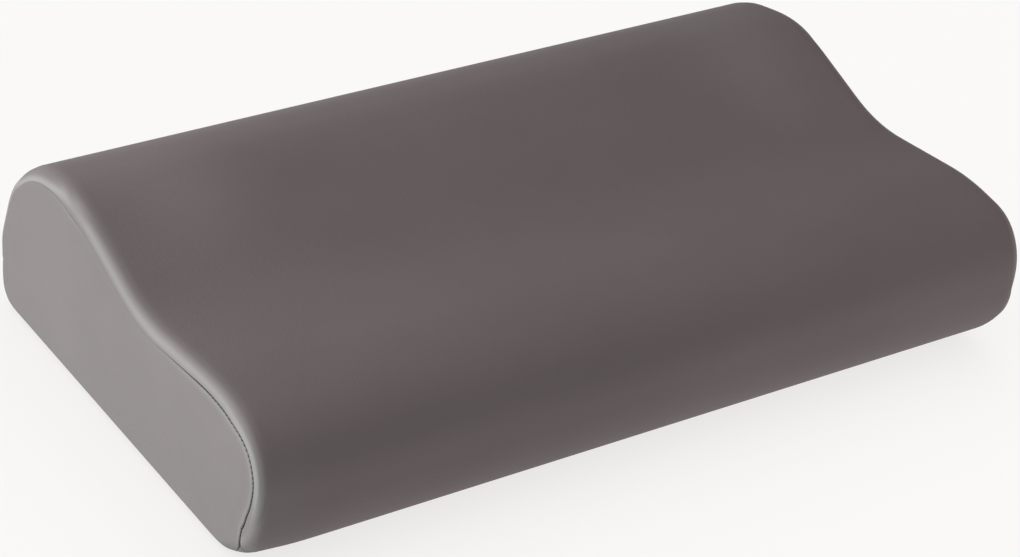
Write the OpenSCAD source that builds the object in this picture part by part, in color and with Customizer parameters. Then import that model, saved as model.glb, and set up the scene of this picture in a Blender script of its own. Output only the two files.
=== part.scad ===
// Contour bed pillow: a foam core in a thin sewn liner, inside a zipped cover of four panels.
// X runs along the pillow, -Y is the low front lobe, +Y the tall back lobe, and Z = 0 is the bed.

/* [Pillow] */
// Length of the covered pillow, end to end
pillow_l = 500; // [440:10:600]
// Depth of the covered pillow, front to back
pillow_d = 316; // [306:2:330]
// Height of the tall back lobe
back_h = 119.5; // [115:0.5:125]
// Height of the low front lobe
front_h = 97; // [94:0.5:101]
// Height of the valley where the head lies
valley_h = 92.5; // [89:0.5:93.5]
// Radius of the rounding between the top and each end
end_r = 7.5; // [7:0.5:8]

/* [Cover] */
// Thickness of the cover's knitted fabric
cover_t = 1.6; // [1.2:0.1:1.8]
// Slack between the cover and the liner, which holds the zip tapes and seam allowances
ease = 1; // [1:0.1:1.4]
// Thickness of the liner's fabric
liner_t = 0.8; // [0.5:0.1:1]
// Width of the groove that a seam's thread lies in
seam_gap = 1; // [0.9:0.1:1.2]
// Radius of the seam thread
thread_r = 0.35; // [0.25:0.05:0.38]

/* [Zip] */
// Height of the zip's centre line on the back face
zip_z = 30; // [30:0.5:31]
// Length of the zip's opening
zip_l = 460; // [380:10:460]
// Width of the slot between the two folded panel edges
slot_w = 10; // [10:0.1:10.4]
// Width of each zip tape, from the teeth outward
tape_w = 11; // [10:0.5:11.5]
// Thickness of a zip tape
tape_t = 0.6; // [0.5:0.05:0.6]
// Width of one half of the nylon coil
coil_w = 2.3; // [2.2:0.1:2.5]
// Height of the nylon coil above its tape
coil_h = 2; // [1.8:0.1:2]
// Clear gap between the two coil halves, where the slider's wedge runs
coil_gap = 1.3; // [1.3:0.1:1.5]

/* [Slider] */
// Length of the slider's plates, along the zip
slider_l = 12; // [11:0.5:13]
// Width of the slider's plates, across the zip
slider_w = 9; // [8.6:0.1:9]
// Length of the pull tab beyond its hinge bar
pull_l = 30; // [24:1:34]
// Width of the pull tab
pull_w = 7.6; // [7:0.2:8.4]
// Thickness of the pull tab and diameter of its hinge bar
pull_t = 1.3; // [1.2:0.1:1.3]
// Radius of the hole near the pull tab's free end
pull_hole_r = 1.6; // [1.2:0.1:2]

/* [Label] */
// Width of the folded care label
label_w = 28; // [20:1:32]
// Length of the care label out of the seam
label_l = 38; // [25:1:45]

/* [Hidden] */

FABRIC = [0.43, 0.40, 0.39];
THREAD = [0.24, 0.22, 0.22];
ZIP_GREY = [0.33, 0.31, 0.31];
METAL = [0.62, 0.62, 0.63];
WHITE = [0.92, 0.92, 0.90];
FOAM = [0.95, 0.93, 0.86];

half_l = pillow_l / 2;
half_d = pillow_d / 2;

// The end outline: corners [y, z, fillet radius], up the front, over the top and down the back
OUTLINE = [
    [-half_d, 0, 48],
    [-half_d, front_h - 8, 36],
    [50 - half_d, front_h + 1, 136],
    [-22, valley_h - 2, 96],
    [62, back_h + 3, 82],
    [half_d - 25, back_h - 8.5, 72],
    [half_d, 47, 25],
    [half_d, 0, 17]
];
FRONT_FOOT = 0;
BACK_SLOPE = 5;
BACK_WALL = 6;
BACK_FOOT = 7;
// Angle that one facet of an arc turns through, at most
arc_step = 9;

function flat(lists) = [for (list = lists) each list];
function unit(v) = v / norm(v);
function mix(a, b, t) = a + (b - a) * t;
function smooth(t) = let (c = min(max(t, 0), 1)) c * c * (3 - 2 * c);
function corner(i) = OUTLINE[(i + len(OUTLINE)) % len(OUTLINE)];
function heading(i) = let (d = corner(i + 1) - corner(i)) atan2(d[1], d[0]);
function turn(i) = let (d = heading(i) - heading(i - 1)) (d > 180 ? d - 360 : d < -180 ? d + 360 : d);
function along(h) = [cos(h), sin(h)];
function inward(h) = [sin(h), -cos(h)];

// One entry per corner: arc centre, radius (negative on the concave valley), first heading, turn
ARCS = [
    for (i = [0 : len(OUTLINE) - 1])
        let (
            h = heading(i - 1),
            a = turn(i),
            r = a < 0 ? corner(i)[2] : -corner(i)[2],
            start = [corner(i)[0], corner(i)[1]] - along(h) * abs(r * tan(a / 2))
        )
        [start + inward(h) * r, r, h, a]
];

// A place on the outline is [corner, t]: t from 0 to 1 runs round the arc, 1 to 2 along the straight
// after it. A third value sinks the place deeper into the pillow.
function on_arc(i, t, inset) =
    let (arc = ARCS[i], n = inward(arc[2] + arc[3] * t)) arc[0] + (inset - arc[1]) * n;
function sink(place) = len(place) > 2 ? place[2] : 0;
function outline_at(place, inset) =
    let (i = place[0], t = place[1], d = inset + sink(place))
    t <= 1
        ? on_arc(i, t, d)
        : mix(on_arc(i, 1, d), on_arc((i + 1) % len(ARCS), 0, d), t - 1);
function arc_places(i) = let (n = ceil(abs(ARCS[i][3]) / arc_step)) [for (k = [0 : n]) [i, k / n]];

// The straight back wall, where the zip lies
wall_top = on_arc(BACK_WALL, 1, 0)[1];
wall_bottom = on_arc(BACK_FOOT, 0, 0)[1];
function wall_place(z, sunk = 0) = [BACK_WALL, 1 + (wall_top - z) / (wall_top - wall_bottom), sunk];

// Depths of each layer's outer face below the cover's outer face
liner_depth = cover_t + ease;
foam_depth = liner_depth + liner_t + 0.3;
// The liner and foam give way by this much behind the zip, for the slider's inner plate
relief = 1.9;
relief_w = 12;

// The end rounding: u is the length along the surface from the flat end face, so u < 0 is on the
// flat, and u_top is where the straight top begins
u_top = end_r * PI / 2;
function skin(place, u, depth) =
    let (
        a = max(u, 0) / end_r * 180 / PI,
        inset = end_r - (end_r - depth) * sin(a) - min(u, 0),
        p = outline_at(place, inset)
    )
    [half_l - end_r + (end_r - depth) * cos(a), p[0], p[1]];
function left(p) = [-p[0], p[1], p[2]];

// The end seam wanders: it follows the start of the rounding, swings in on the flat face above the
// front foot and a little beside the back lobe, and runs out under the pillow along the bottom
seam_side_u = 0.6;
seam_foot_dip = 4.8;
seam_lobe_dip = 2.4;
seam_under_u = 9.5;
seam_under_z = 14;
function seam_u(place) =
    let (
        p = outline_at(place, 0),
        under = smooth(1 - p[1] / seam_under_z),
        foot = exp(-pow((p[1] - 33) / 17, 2)) * smooth((-100 - p[0]) / 40),
        lobe = exp(-pow((p[0] - 56) / 18, 2))
    )
    mix(seam_side_u - seam_foot_dip * foot - seam_lobe_dip * lobe, seam_under_u, under);
liner_seam_u = -2;

WALL_RELIEF = [
    wall_place(zip_z + relief_w / 2 + 0.5, 0), wall_place(zip_z + relief_w / 2, relief),
    wall_place(zip_z - relief_w / 2, relief), wall_place(zip_z - relief_w / 2 - 0.5, 0)
];
ALL_PLACES = flat([for (i = [0 : len(OUTLINE) - 1]) arc_places(i)]);
INNER_PLACES = flat([
    for (i = [0 : len(OUTLINE) - 1]) i == BACK_WALL ? concat(arc_places(i), WALL_RELIEF) : arc_places(i)
]);

// The front seam runs along the foot of the front face, where it turns under
front_seam = 0.42;
front_gap = seam_gap / 2 / (corner(FRONT_FOOT)[2] * PI / 2);
function foot_places(low, high) = [
    for (p = arc_places(FRONT_FOOT)) if (p[1] > low + 0.02 && p[1] < high - 0.02) p
];
TOP_PLACES = concat(
    [[FRONT_FOOT, front_seam + front_gap]],
    foot_places(front_seam + front_gap, 1.1),
    flat([for (i = [1 : BACK_WALL]) arc_places(i)])
);
BOTTOM_PLACES = concat(
    arc_places(BACK_FOOT),
    foot_places(-1, front_seam - front_gap),
    [[FRONT_FOOT, front_seam - front_gap]]
);

// Facets round the end rounding, and the columns where the zip's slot begins and ends
end_steps = 5;
slot_half = zip_l / 2;
slot_corner = 2;
MIDDLE = [-slot_half - slot_corner, -slot_half, slot_half, slot_half + slot_corner];

// One row of a panel, end seam to end seam. Between the slot's ends it goes through place b instead.
function panel_row(a, b, depth) =
    let (
        edge = seam_u(a) + seam_gap / 2,
        end = [for (k = [0 : end_steps]) skin(a, mix(edge, u_top, k / end_steps), depth)]
    )
    concat(
        [for (p = end) left(p)],
        [for (x = MIDDLE) let (p = outline_at(abs(x) <= slot_half ? b : a, depth)) [x, p[0], p[1]]],
        [for (k = [end_steps : -1 : 0]) end[k]]
    );
function panel_rows(places, depth) = [for (p = places) panel_row(p, p, depth)];
function zip_edge_row(side, depth) =
    panel_row(wall_place(zip_z + side * seam_gap / 2), wall_place(zip_z + side * slot_w / 2), depth);

function liner_row(place, depth) =
    let (
        edge = liner_seam_u + seam_gap / 2,
        end = [for (k = [0 : end_steps]) skin(place, mix(edge, u_top, k / end_steps), depth)]
    )
    concat([for (p = end) left(p)], [for (k = [end_steps : -1 : 0]) end[k]]);

// A closed solid between an outer and an inner grid of points. A looped sheet joins its last row to
// its first.
module thick_sheet(outer, inner, looped = false) {
    rows = len(outer);
    columns = len(outer[0]);
    inside = rows * columns;
    function at(r, c) = (r % rows) * columns + c;
    last = looped ? rows - 1 : rows - 2;
    faces = flat([
        [for (r = [0 : last]) for (c = [0 : columns - 2]) each [
            [at(r, c), at(r + 1, c), at(r + 1, c + 1)],
            [at(r, c), at(r + 1, c + 1), at(r, c + 1)],
            [inside + at(r, c), inside + at(r + 1, c + 1), inside + at(r + 1, c)],
            [inside + at(r, c), inside + at(r, c + 1), inside + at(r + 1, c + 1)]
        ]],
        [for (r = [0 : last]) each [
            [at(r + 1, 0), at(r, 0), inside + at(r, 0)],
            [at(r + 1, 0), inside + at(r, 0), inside + at(r + 1, 0)],
            [at(r, columns - 1), at(r + 1, columns - 1), inside + at(r + 1, columns - 1)],
            [at(r, columns - 1), inside + at(r + 1, columns - 1), inside + at(r, columns - 1)]
        ]],
        looped ? [] : [for (c = [0 : columns - 2]) each [
            [at(0, c), at(0, c + 1), inside + at(0, c + 1)],
            [at(0, c), inside + at(0, c + 1), inside + at(0, c)],
            [at(rows - 1, c + 1), at(rows - 1, c), inside + at(rows - 1, c)],
            [at(rows - 1, c + 1), inside + at(rows - 1, c), inside + at(rows - 1, c + 1)]
        ]]
    ]);
    polyhedron(flat([flat(outer), flat(inner)]), faces);
}

// A closed solid through a list of rings, with a flat cap on the first and last ring, or with the
// last ring joined to the first
module loft(rings, looped = false) {
    n = len(rings[0]);
    count = len(rings);
    last = looped ? count - 1 : count - 2;
    function at(r, k) = (r % count) * n + k % n;
    polyhedron(
        flat(rings),
        flat([
            [for (r = [0 : last]) for (k = [0 : n - 1]) each [
                [at(r, k), at(r, k + 1), at(r + 1, k + 1)],
                [at(r, k), at(r + 1, k + 1), at(r + 1, k)]
            ]],
            looped ? [] : [[for (k = [n - 1 : -1 : 0]) k], [for (k = [0 : n - 1]) at(count - 1, k)]]
        ])
    );
}

// A round thread through the points, with each point's outward normal
thread_sides = 6;
module thread(points, normals, looped = false) {
    n = len(points);
    function before(i) = points[looped ? (i + n - 1) % n : max(i - 1, 0)];
    function after(i) = points[looped ? (i + 1) % n : min(i + 1, n - 1)];
    loft([
        for (i = [0 : n - 1])
            let (side = unit(cross(normals[i], after(i) - before(i))))
            [for (k = [0 : thread_sides - 1])
                let (a = 360 * k / thread_sides)
                points[i] + thread_r * (cos(a) * normals[i] + sin(a) * side)]
    ], looped);
}
thread_depth = 0.55;
module seam_loop(places, seams, depth) {
    points = [for (i = [0 : len(places) - 1]) skin(places[i], seams[i], depth + thread_depth)];
    outside = [for (i = [0 : len(places) - 1]) skin(places[i], seams[i], depth)];
    thread(points, [for (i = [0 : len(points) - 1]) unit(outside[i] - points[i])], true);
}

// ---- Core and liner ----

module foam_core() {
    half = [
        for (k = [0 : end_steps]) [for (p = INNER_PLACES) skin(p, u_top * k / end_steps, foam_depth)]
    ];
    color(FOAM)
    loft(concat(
        [for (ring = half) [for (p = ring) left(p)]],
        [for (k = [end_steps : -1 : 0]) half[k]]
    ));
}

module liner_wrap() {
    color(WHITE)
    thick_sheet(
        [for (p = INNER_PLACES) liner_row(p, liner_depth)],
        [for (p = INNER_PLACES) liner_row(p, liner_depth + liner_t)],
        looped = true
    );
}

module liner_end() {
    color(WHITE)
    translate([half_l - liner_depth - liner_t, 0, 0])
    rotate([90, 0, 90])
    linear_extrude(liner_t)
    polygon([for (p = INNER_PLACES) outline_at(p, end_r - liner_seam_u + seam_gap / 2)]);
}

module liner_end_left() {
    mirror([1, 0, 0]) liner_end();
}

module liner_end_right() {
    liner_end();
}

module liner_thread() {
    color(WHITE)
    seam_loop(INNER_PLACES, [for (p = INNER_PLACES) liner_seam_u], liner_depth - 0.1);
}

module liner_thread_left() {
    mirror([1, 0, 0]) liner_thread();
}

module liner_thread_right() {
    liner_thread();
}

// ---- Cover ----

module cover_top_panel() {
    color(FABRIC)
    thick_sheet(
        concat(panel_rows(TOP_PLACES, 0), [zip_edge_row(1, 0)]),
        concat(panel_rows(TOP_PLACES, cover_t), [zip_edge_row(1, cover_t)])
    );
}

// The bottom panel, joined with a slab of its own thickness that makes the underside one plane
module cover_bottom_panel() {
    foot_front = outline_at([FRONT_FOOT, 0], 0)[0];
    foot_back = outline_at([BACK_FOOT, 1], 0)[0];
    color(FABRIC)
    union() {
        thick_sheet(
            concat([zip_edge_row(-1, 0)], panel_rows(BOTTOM_PLACES, 0)),
            concat([zip_edge_row(-1, cover_t)], panel_rows(BOTTOM_PLACES, cover_t))
        );
        translate([-slot_half, foot_front, 0]) cube([zip_l, foot_back - foot_front, cover_t]);
    }
}

cap_u = -7;
rim_steps = 4;
function end_panel_ring(k, depth) =
    [for (p = ALL_PLACES) skin(p, mix(seam_u(p) - seam_gap / 2, cap_u, k / rim_steps), depth)];

// A flat end, with its rim turned over onto the rounding wherever its seam lies there
module cover_end_panel() {
    color(FABRIC)
    loft(concat(
        [for (k = [rim_steps : -1 : 0]) end_panel_ring(k, cover_t)],
        [for (k = [0 : rim_steps]) end_panel_ring(k, 0)]
    ));
}

module cover_left_end_panel() {
    mirror([1, 0, 0]) cover_end_panel();
}

module cover_right_end_panel() {
    cover_end_panel();
}

module end_seam_thread() {
    color(THREAD)
    seam_loop(ALL_PLACES, [for (p = ALL_PLACES) seam_u(p)], 0);
}

module left_end_seam_thread() {
    mirror([1, 0, 0]) end_seam_thread();
}

module right_end_seam_thread() {
    end_seam_thread();
}

// Half of a thread along the pillow in the groove at one place, from x_from out to the right end seam
seam_end_gap = 1;
function seam_end(place, depth) = [
    for (k = [end_steps : -1 : 0]) skin(place, mix(seam_u(place) + seam_end_gap, u_top, k / end_steps), depth)
];
module half_thread(place, x_from) {
    end = seam_end(place, thread_depth);
    outside = seam_end(place, 0);
    normals = [for (k = [0 : end_steps]) unit(outside[k] - end[k])];
    thread(concat([[x_from, end[0][1], end[0][2]]], end), concat([normals[0]], normals));
}

module front_seam_thread() {
    color(THREAD)
    for (m = [0, 1]) mirror([m, 0, 0]) half_thread([FRONT_FOOT, front_seam], 0);
}

module back_seam_thread() {
    color(THREAD)
    for (m = [0, 1]) mirror([m, 0, 0]) half_thread(wall_place(zip_z), slot_half + slot_corner + 1);
}

// ---- Zip ----

// Faces of the layers on the back wall, as distances along +Y
tape_y = half_d - cover_t;
coil_y = tape_y + coil_h;

// A box from y_low to y_high, over a stretch of X, on one side of the zip's centre line
module zip_bar(x_from, x_to, y_low, y_high, z_from, z_to) {
    translate([x_from, y_low, zip_z + min(z_from, z_to)])
    cube([x_to - x_from, y_high - y_low, abs(z_to - z_from)]);
}

tape_end = slot_half + 6;
module zip_tape(side) {
    color(ZIP_GREY)
    zip_bar(-tape_end, tape_end, tape_y - tape_t, tape_y,
        side * coil_gap / 2, side * (coil_gap / 2 + tape_w));
}

module zip_tape_upper() {
    zip_tape(1);
}

module zip_tape_lower() {
    zip_tape(-1);
}

stop_l = 3;
coil_end = slot_half - 5;
module zip_coil(side) {
    color(ZIP_GREY)
    zip_bar(-coil_end + stop_l, coil_end - stop_l, tape_y, coil_y,
        side * coil_gap / 2, side * (coil_gap / 2 + coil_w));
}

module zip_coil_upper() {
    zip_coil(1);
}

module zip_coil_lower() {
    zip_coil(-1);
}

// Topstitching that holds a tape to its panel, laid on the panel beside the slot
stitch_row = slot_w / 2 + 2.5;
module zip_stitching(side) {
    color(THREAD)
    translate([-slot_half, half_d + thread_r, zip_z + side * stitch_row])
    rotate([0, 90, 0])
    cylinder(h = zip_l, r = thread_r, $fn = 16);
}

module zip_stitching_upper() {
    zip_stitching(1);
}

module zip_stitching_lower() {
    zip_stitching(-1);
}

tack_w = 1.6;
tack_h = 0.8;
module zip_bar_tacks() {
    color(THREAD)
    for (side = [-1, 1])
        translate([side * (slot_half + 1), half_d, zip_z - slot_w / 2])
        linear_extrude(slot_w)
        polygon([
            [-tack_w / 2, 0], [tack_w / 2, 0], [tack_w / 2 - 0.3, tack_h], [0.3 - tack_w / 2, tack_h]
        ]);
}

// Metal stops clamped round the ends of the coil: one on each half where the zip closes
module zip_top_stops() {
    color(METAL)
    for (side = [-1, 1])
        zip_bar(coil_end - stop_l, coil_end, tape_y, coil_y + 0.2,
            side * coil_gap / 2, side * (coil_gap / 2 + coil_w + 0.3));
}

// One stop across both halves where the zip ends when it is open
module zip_bottom_stop() {
    stop_w = coil_gap / 2 + coil_w + 0.3;
    color(METAL) zip_bar(-coil_end, stop_l - coil_end, tape_y, coil_y + 0.2, -stop_w, stop_w);
}

// Slider: an outer plate with side flanges, an inner plate, a wedge between them and a bridge
slider_x = coil_end - stop_l - 1 - slider_l / 2;
plate_t = 1.3;
inner_plate_t = 1.1;
plate_gap = 0.35;
flange_t = 0.8;
outer_plate_y = coil_y + plate_gap;
inner_plate_y = tape_y - tape_t - plate_gap - inner_plate_t;
wedge_w = 0.7;
wedge_l = 4;
bridge_w = 2.4;
bridge_l = 7;
bridge_post = 1.3;
bridge_h = 1.7;
bridge_t = 1.1;

// A plate with its corners cut, narrower at the end where the closed chain leaves
module slider_plate(y_low, thick) {
    half = slider_l / 2;
    wide = slider_w / 2;
    narrow = wide - 0.9;
    cut = 1.6;
    translate([slider_x, y_low + thick, zip_z])
    rotate([90, 0, 0])
    linear_extrude(thick)
    polygon([
        [-half, narrow - cut], [cut - half, narrow], [0, wide], [half - cut, wide], [half, wide - cut],
        [half, cut - wide], [half - cut, -wide], [0, -wide], [cut - half, -narrow], [-half, cut - narrow]
    ]);
}

module zip_slider_body() {
    wide = slider_w / 2;
    roof_y = outer_plate_y + plate_t;
    color(METAL)
    union() {
        slider_plate(outer_plate_y, plate_t);
        slider_plate(inner_plate_y, inner_plate_t);
        for (side = [-1, 1])
            zip_bar(slider_x, slider_x + slider_l / 2 - 1.6, tape_y + plate_gap, roof_y - 0.2,
                side * (wide - flange_t), side * wide);
        zip_bar(slider_x + slider_l / 2 - wedge_l - 0.5, slider_x + slider_l / 2 - 0.5,
            inner_plate_y + 0.2, roof_y - 0.2, -wedge_w / 2, wedge_w / 2);
        for (end = [-1, 1])
            translate([slider_x + end * (bridge_l - bridge_post) / 2 - bridge_post / 2, roof_y - 0.2,
                zip_z - bridge_w / 2])
            cube([bridge_post, bridge_h + bridge_t + 0.2, bridge_w]);
        translate([slider_x - bridge_l / 2, roof_y + bridge_h, zip_z - bridge_w / 2])
        cube([bridge_l, bridge_t, bridge_w]);
    }
}

// Pull tab: a hinge bar through the bridge, two arms round it, and a plate with a hole
pull_y = outer_plate_y + plate_t + 0.2 + pull_t / 2;
arm_w = 1.6;
arm_l = 9;
module zip_pull_tab() {
    wide = pull_w / 2;
    tip = 3;
    color(METAL)
    translate([slider_x, pull_y, zip_z])
    difference() {
        union() {
            translate([0, 0, -wide]) cylinder(h = pull_w, d = pull_t, $fn = 24);
            for (side = [-1, 1])
                translate([-arm_l, -pull_t / 2, side > 0 ? wide - arm_w : -wide])
                cube([arm_l, pull_t, arm_w]);
            translate([0, pull_t / 2, 0])
            rotate([90, 0, 0])
            linear_extrude(pull_t)
            polygon([
                [-arm_l + 2.5, wide], [-arm_l + 2.5, -wide], [tip - pull_l, -wide],
                [-pull_l, tip - wide], [-pull_l, wide - tip], [tip - pull_l, wide]
            ]);
        }
        translate([4 - pull_l, pull_t, 0]) rotate([90, 0, 0]) cylinder(h = 2 * pull_t, r = pull_hole_r, $fn = 32);
    }
}

// ---- Care label ----

// A folded satin ribbon, rooted beside the right end seam on the back slope and lying on the end panel
module care_label() {
    ribbon_t = 0.3;
    fold_t = 0.9;
    root = outline_at([BACK_SLOPE, 1.5], end_r + 0.6);
    color(WHITE)
    translate([half_l + 0.05, root[0], root[1]])
    rotate([heading(BACK_SLOPE) + 90, 0, 0])
    translate([0, -label_l, -label_w / 2])
    linear_extrude(label_w)
    difference() {
        square([fold_t, label_l]);
        translate([ribbon_t, ribbon_t]) square([fold_t - 2 * ribbon_t, label_l]);
    }
}

foam_core();
liner_wrap();
liner_end_left();
liner_end_right();
liner_thread_left();
liner_thread_right();
cover_top_panel();
cover_bottom_panel();
cover_left_end_panel();
cover_right_end_panel();
left_end_seam_thread();
right_end_seam_thread();
front_seam_thread();
back_seam_thread();
zip_tape_upper();
zip_tape_lower();
zip_coil_upper();
zip_coil_lower();
zip_stitching_upper();
zip_stitching_lower();
zip_bar_tacks();
zip_top_stops();
zip_bottom_stop();
zip_slider_body();
zip_pull_tab();
care_label();
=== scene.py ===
"""Contour bed pillow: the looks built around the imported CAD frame.

Everything is in metres, in the CAD frame: X runs along the pillow, -Y is the low front lobe, +Y the
tall back lobe with the zip, and Z = 0 is the bed.
"""

import math

import bpy
import numpy as np
from mathutils import Matrix, Vector
from mathutils.bvhtree import BVHTree
from mathutils.interpolate import poly_3d_calc
from mathutils.kdtree import KDTree


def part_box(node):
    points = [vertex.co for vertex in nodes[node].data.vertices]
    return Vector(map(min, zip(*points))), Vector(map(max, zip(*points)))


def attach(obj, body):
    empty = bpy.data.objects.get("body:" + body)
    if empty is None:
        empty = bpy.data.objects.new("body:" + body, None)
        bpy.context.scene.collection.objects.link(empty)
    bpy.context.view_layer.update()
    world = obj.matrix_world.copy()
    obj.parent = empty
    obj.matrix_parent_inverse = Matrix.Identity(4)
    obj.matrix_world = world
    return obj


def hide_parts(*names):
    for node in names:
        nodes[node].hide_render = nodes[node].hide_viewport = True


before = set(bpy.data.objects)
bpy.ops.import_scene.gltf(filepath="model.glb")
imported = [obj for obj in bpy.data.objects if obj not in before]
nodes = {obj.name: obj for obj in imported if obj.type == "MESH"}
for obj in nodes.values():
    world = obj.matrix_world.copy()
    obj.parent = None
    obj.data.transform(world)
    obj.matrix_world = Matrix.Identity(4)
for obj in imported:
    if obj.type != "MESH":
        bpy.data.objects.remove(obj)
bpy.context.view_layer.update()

# ---- Sizes shared with the CAD ----

HALF_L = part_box("cover_right_end_panel")[1].x
BACK_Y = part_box("cover_top_panel")[1].y
END_R = 0.0075  # rounding between the top and each end
FRONT_R = 0.0037  # the cover pulls it tighter down the front edge
FOOT_R = 0.0105  # and the foam's corners are worn rounder at the front foot
LOBE_R = 0.0105  # and behind the top of the back lobe
COVER_T = 0.0016
LINER_DEPTH = 0.0026  # liner's outer face below the cover's outer face
LINER_T = 0.0008
FOAM_DEPTH = 0.0037
SLIDER_RELIEF, RELIEF_HALF = 0.0019, 0.006  # depth and half width where liner and foam give way
ZIP_Z = (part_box("zip_tape_lower")[0].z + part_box("zip_tape_upper")[1].z) / 2
ZIP_HALF_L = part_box("zip_stitching_upper")[1].x
SLOT_HALF, SLOT_END = 0.005, ZIP_HALF_L + 0.001  # the zip's opening in the cover
STITCH_ROW = 0.0075  # topstitching's distance from the zip's centre line
UPPER_HALF_Z = 0.05  # places above this are on the top, not underneath

# End outline: corners (y, z, fillet radius), up the front, over the top and down the back
CORNERS = (
    (-0.158, 0.0, 0.048),
    (-0.158, 0.089, 0.036),
    (-0.108, 0.098, 0.136),
    (-0.022, 0.0905, 0.096),
    (0.062, 0.1225, 0.082),
    (0.133, 0.111, 0.072),
    (0.158, 0.047, 0.025),
    (0.158, 0.0, 0.017),
)


def ramp(value, start, end):
    """Eased from 0 where the value is at start to 1 where it is at end."""
    t = np.clip((value - start) / (end - start), 0, 1)
    return t * t * (3 - 2 * t)


def mix(a, b, t):
    return a + (b - a) * t


def bell(distance, reach):
    return np.exp(-((distance / reach) ** 2))


def rounded_outline():
    """Points round the end outline, with every corner filleted."""
    corners = np.array([c[:2] for c in CORNERS])
    points = []
    for i, (_, _, radius) in enumerate(CORNERS):
        before = corners[i] - corners[i - 1]
        after = corners[(i + 1) % len(corners)] - corners[i]
        heading = math.atan2(before[1], before[0])
        turn = math.atan2(after[1], after[0]) - heading
        turn = (turn + math.pi) % (2 * math.pi) - math.pi
        side = math.copysign(1, turn)
        start = corners[i] - radius * abs(math.tan(turn / 2)) * before / np.linalg.norm(before)
        centre = start + side * radius * np.array([-math.sin(heading), math.cos(heading)])
        for angle in heading + np.linspace(0, turn, 41):
            points.append(centre + side * radius * np.array([math.sin(angle), -math.cos(angle)]))
    return np.array(points)


def evenly(loop, count):
    """A closed loop's points, spaced evenly, and its length."""
    closed = np.vstack([loop, loop[:1]])
    along = np.concatenate([[0], np.cumsum(np.linalg.norm(np.diff(closed, axis=0), axis=1))])
    wanted = np.arange(count) / count * along[-1]
    return np.stack([np.interp(wanted, along, closed[:, k]) for k in (0, 1)], axis=1), along[-1]


OUTLINE_COUNT = 1600
OUTLINE_BLUR = 6  # steps of about half a millimetre: foam and fabric have no sudden change of curve


def blurred(loop):
    """A closed loop's points, each averaged with its neighbours."""
    reach = np.arange(-3 * OUTLINE_BLUR, 3 * OUTLINE_BLUR + 1)
    weights = np.exp(-0.5 * (reach / OUTLINE_BLUR) ** 2)
    weights /= weights.sum()
    return sum(w * np.roll(loop, -k, axis=0) for k, w in zip(reach, weights))


outline_points, _ = evenly(rounded_outline(), OUTLINE_COUNT)
outline_points, GIRTH = evenly(blurred(outline_points), OUTLINE_COUNT)
outline_tangent = np.roll(outline_points, -1, axis=0) - np.roll(outline_points, 1, axis=0)
outline_tangent /= np.linalg.norm(outline_tangent, axis=1)[:, None]
outline_inward = np.stack([outline_tangent[:, 1], -outline_tangent[:, 0]], axis=1)
outline_s = np.arange(OUTLINE_COUNT + 1) / OUTLINE_COUNT * GIRTH


def outline(s):
    """(y, z) and the inward (y, z) at length s round the end outline."""
    s = np.mod(s, GIRTH)
    columns = np.hstack([outline_points, outline_inward])
    columns = np.vstack([columns, columns[:1]])
    return tuple(np.interp(s, outline_s, columns[:, k]) for k in range(4))


def s_of(y, z):
    """Length round the outline of its nearest point to (y, z)."""
    return outline_s[np.argmin(np.hypot(outline_points[:, 0] - y, outline_points[:, 1] - z))]


U_TOP = END_R * math.pi / 2  # where the end's rounding meets the straight body
U_MIDDLE = HALF_L - END_R + U_TOP


def behind_lobe(y, z):
    """How far a place round the outline is within the slope behind the back lobe's top."""
    return ramp(y, 0.055, 0.1) * ramp(z, 0.086, 0.104)


def end_radius(y, z):
    """Radius of the rounding into the end face, at a place round the outline."""
    front = ramp(y, -0.125, -0.15) * ramp(z, 0.012, 0.032)
    foot = ramp(y, -0.115, -0.135) * ramp(z, 0.022, 0.002)
    radius = END_R + (FRONT_R - END_R) * front + (FOOT_R - END_R) * foot
    return radius + (LOBE_R - END_R) * behind_lobe(y, z)


def skin(s, u, depth=0.0):
    """A point under the cover's surface on the +X half: s is the length round the outline, u the
    length in from the flat end face, negative on the face itself."""
    s, u, depth = np.broadcast_arrays(s, u, depth)
    y, z, inward_y, inward_z = outline(s)
    radius = end_radius(y, z)
    u_top = radius * math.pi / 2
    angle = np.clip(u, 0, u_top) / radius
    inset = radius - (radius - depth) * np.sin(angle) - np.minimum(u, 0)
    straight = np.maximum(u - u_top, 0) / (U_MIDDLE - u_top)
    x = (HALF_L - radius) * (1 - straight) + (radius - depth) * np.cos(angle)
    return np.stack([x, y + inset * inward_y, z + inset * inward_z], axis=-1)


def mirrored(points):
    return points * np.array([-1, 1, 1])


def half_length(first, rounding_steps, straight_steps):
    """Values of u from first over the rounding and on to the middle of the pillow."""
    straight = np.linspace(U_TOP, U_MIDDLE, straight_steps)
    return np.concatenate([np.linspace(first, U_TOP, rounding_steps), straight[1:]])


# ---- Seams ----

S_FRONT = s_of(-0.1394, 0.0101)  # front seam, where the front face turns under
S_WALL = s_of(BACK_Y, ZIP_Z)  # back seam and zip
SEAM_SIDE, SEAM_UNDER = 0.0004, 0.0095  # end seam's u round the sides and top, and underneath
SEAM_UNDER_Z = 0.024  # it starts to turn under the pillow at this height
FRONT_DIP, FOOT_DIP, LOBE_DIP = 0.0027, 0.0042, 0.0032  # how far it strays onto the flat end face
FOOT_DIP_Z, FOOT_DIP_REACH = 0.033, 0.017
LOBE_DIP_Y, LOBE_DIP_REACH = 0.056, 0.018
LOBE_STRAIN, LOBE_STRAIN_REACH = 0.42, 0.02  # how hard it's pulled open by the lobe


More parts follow.
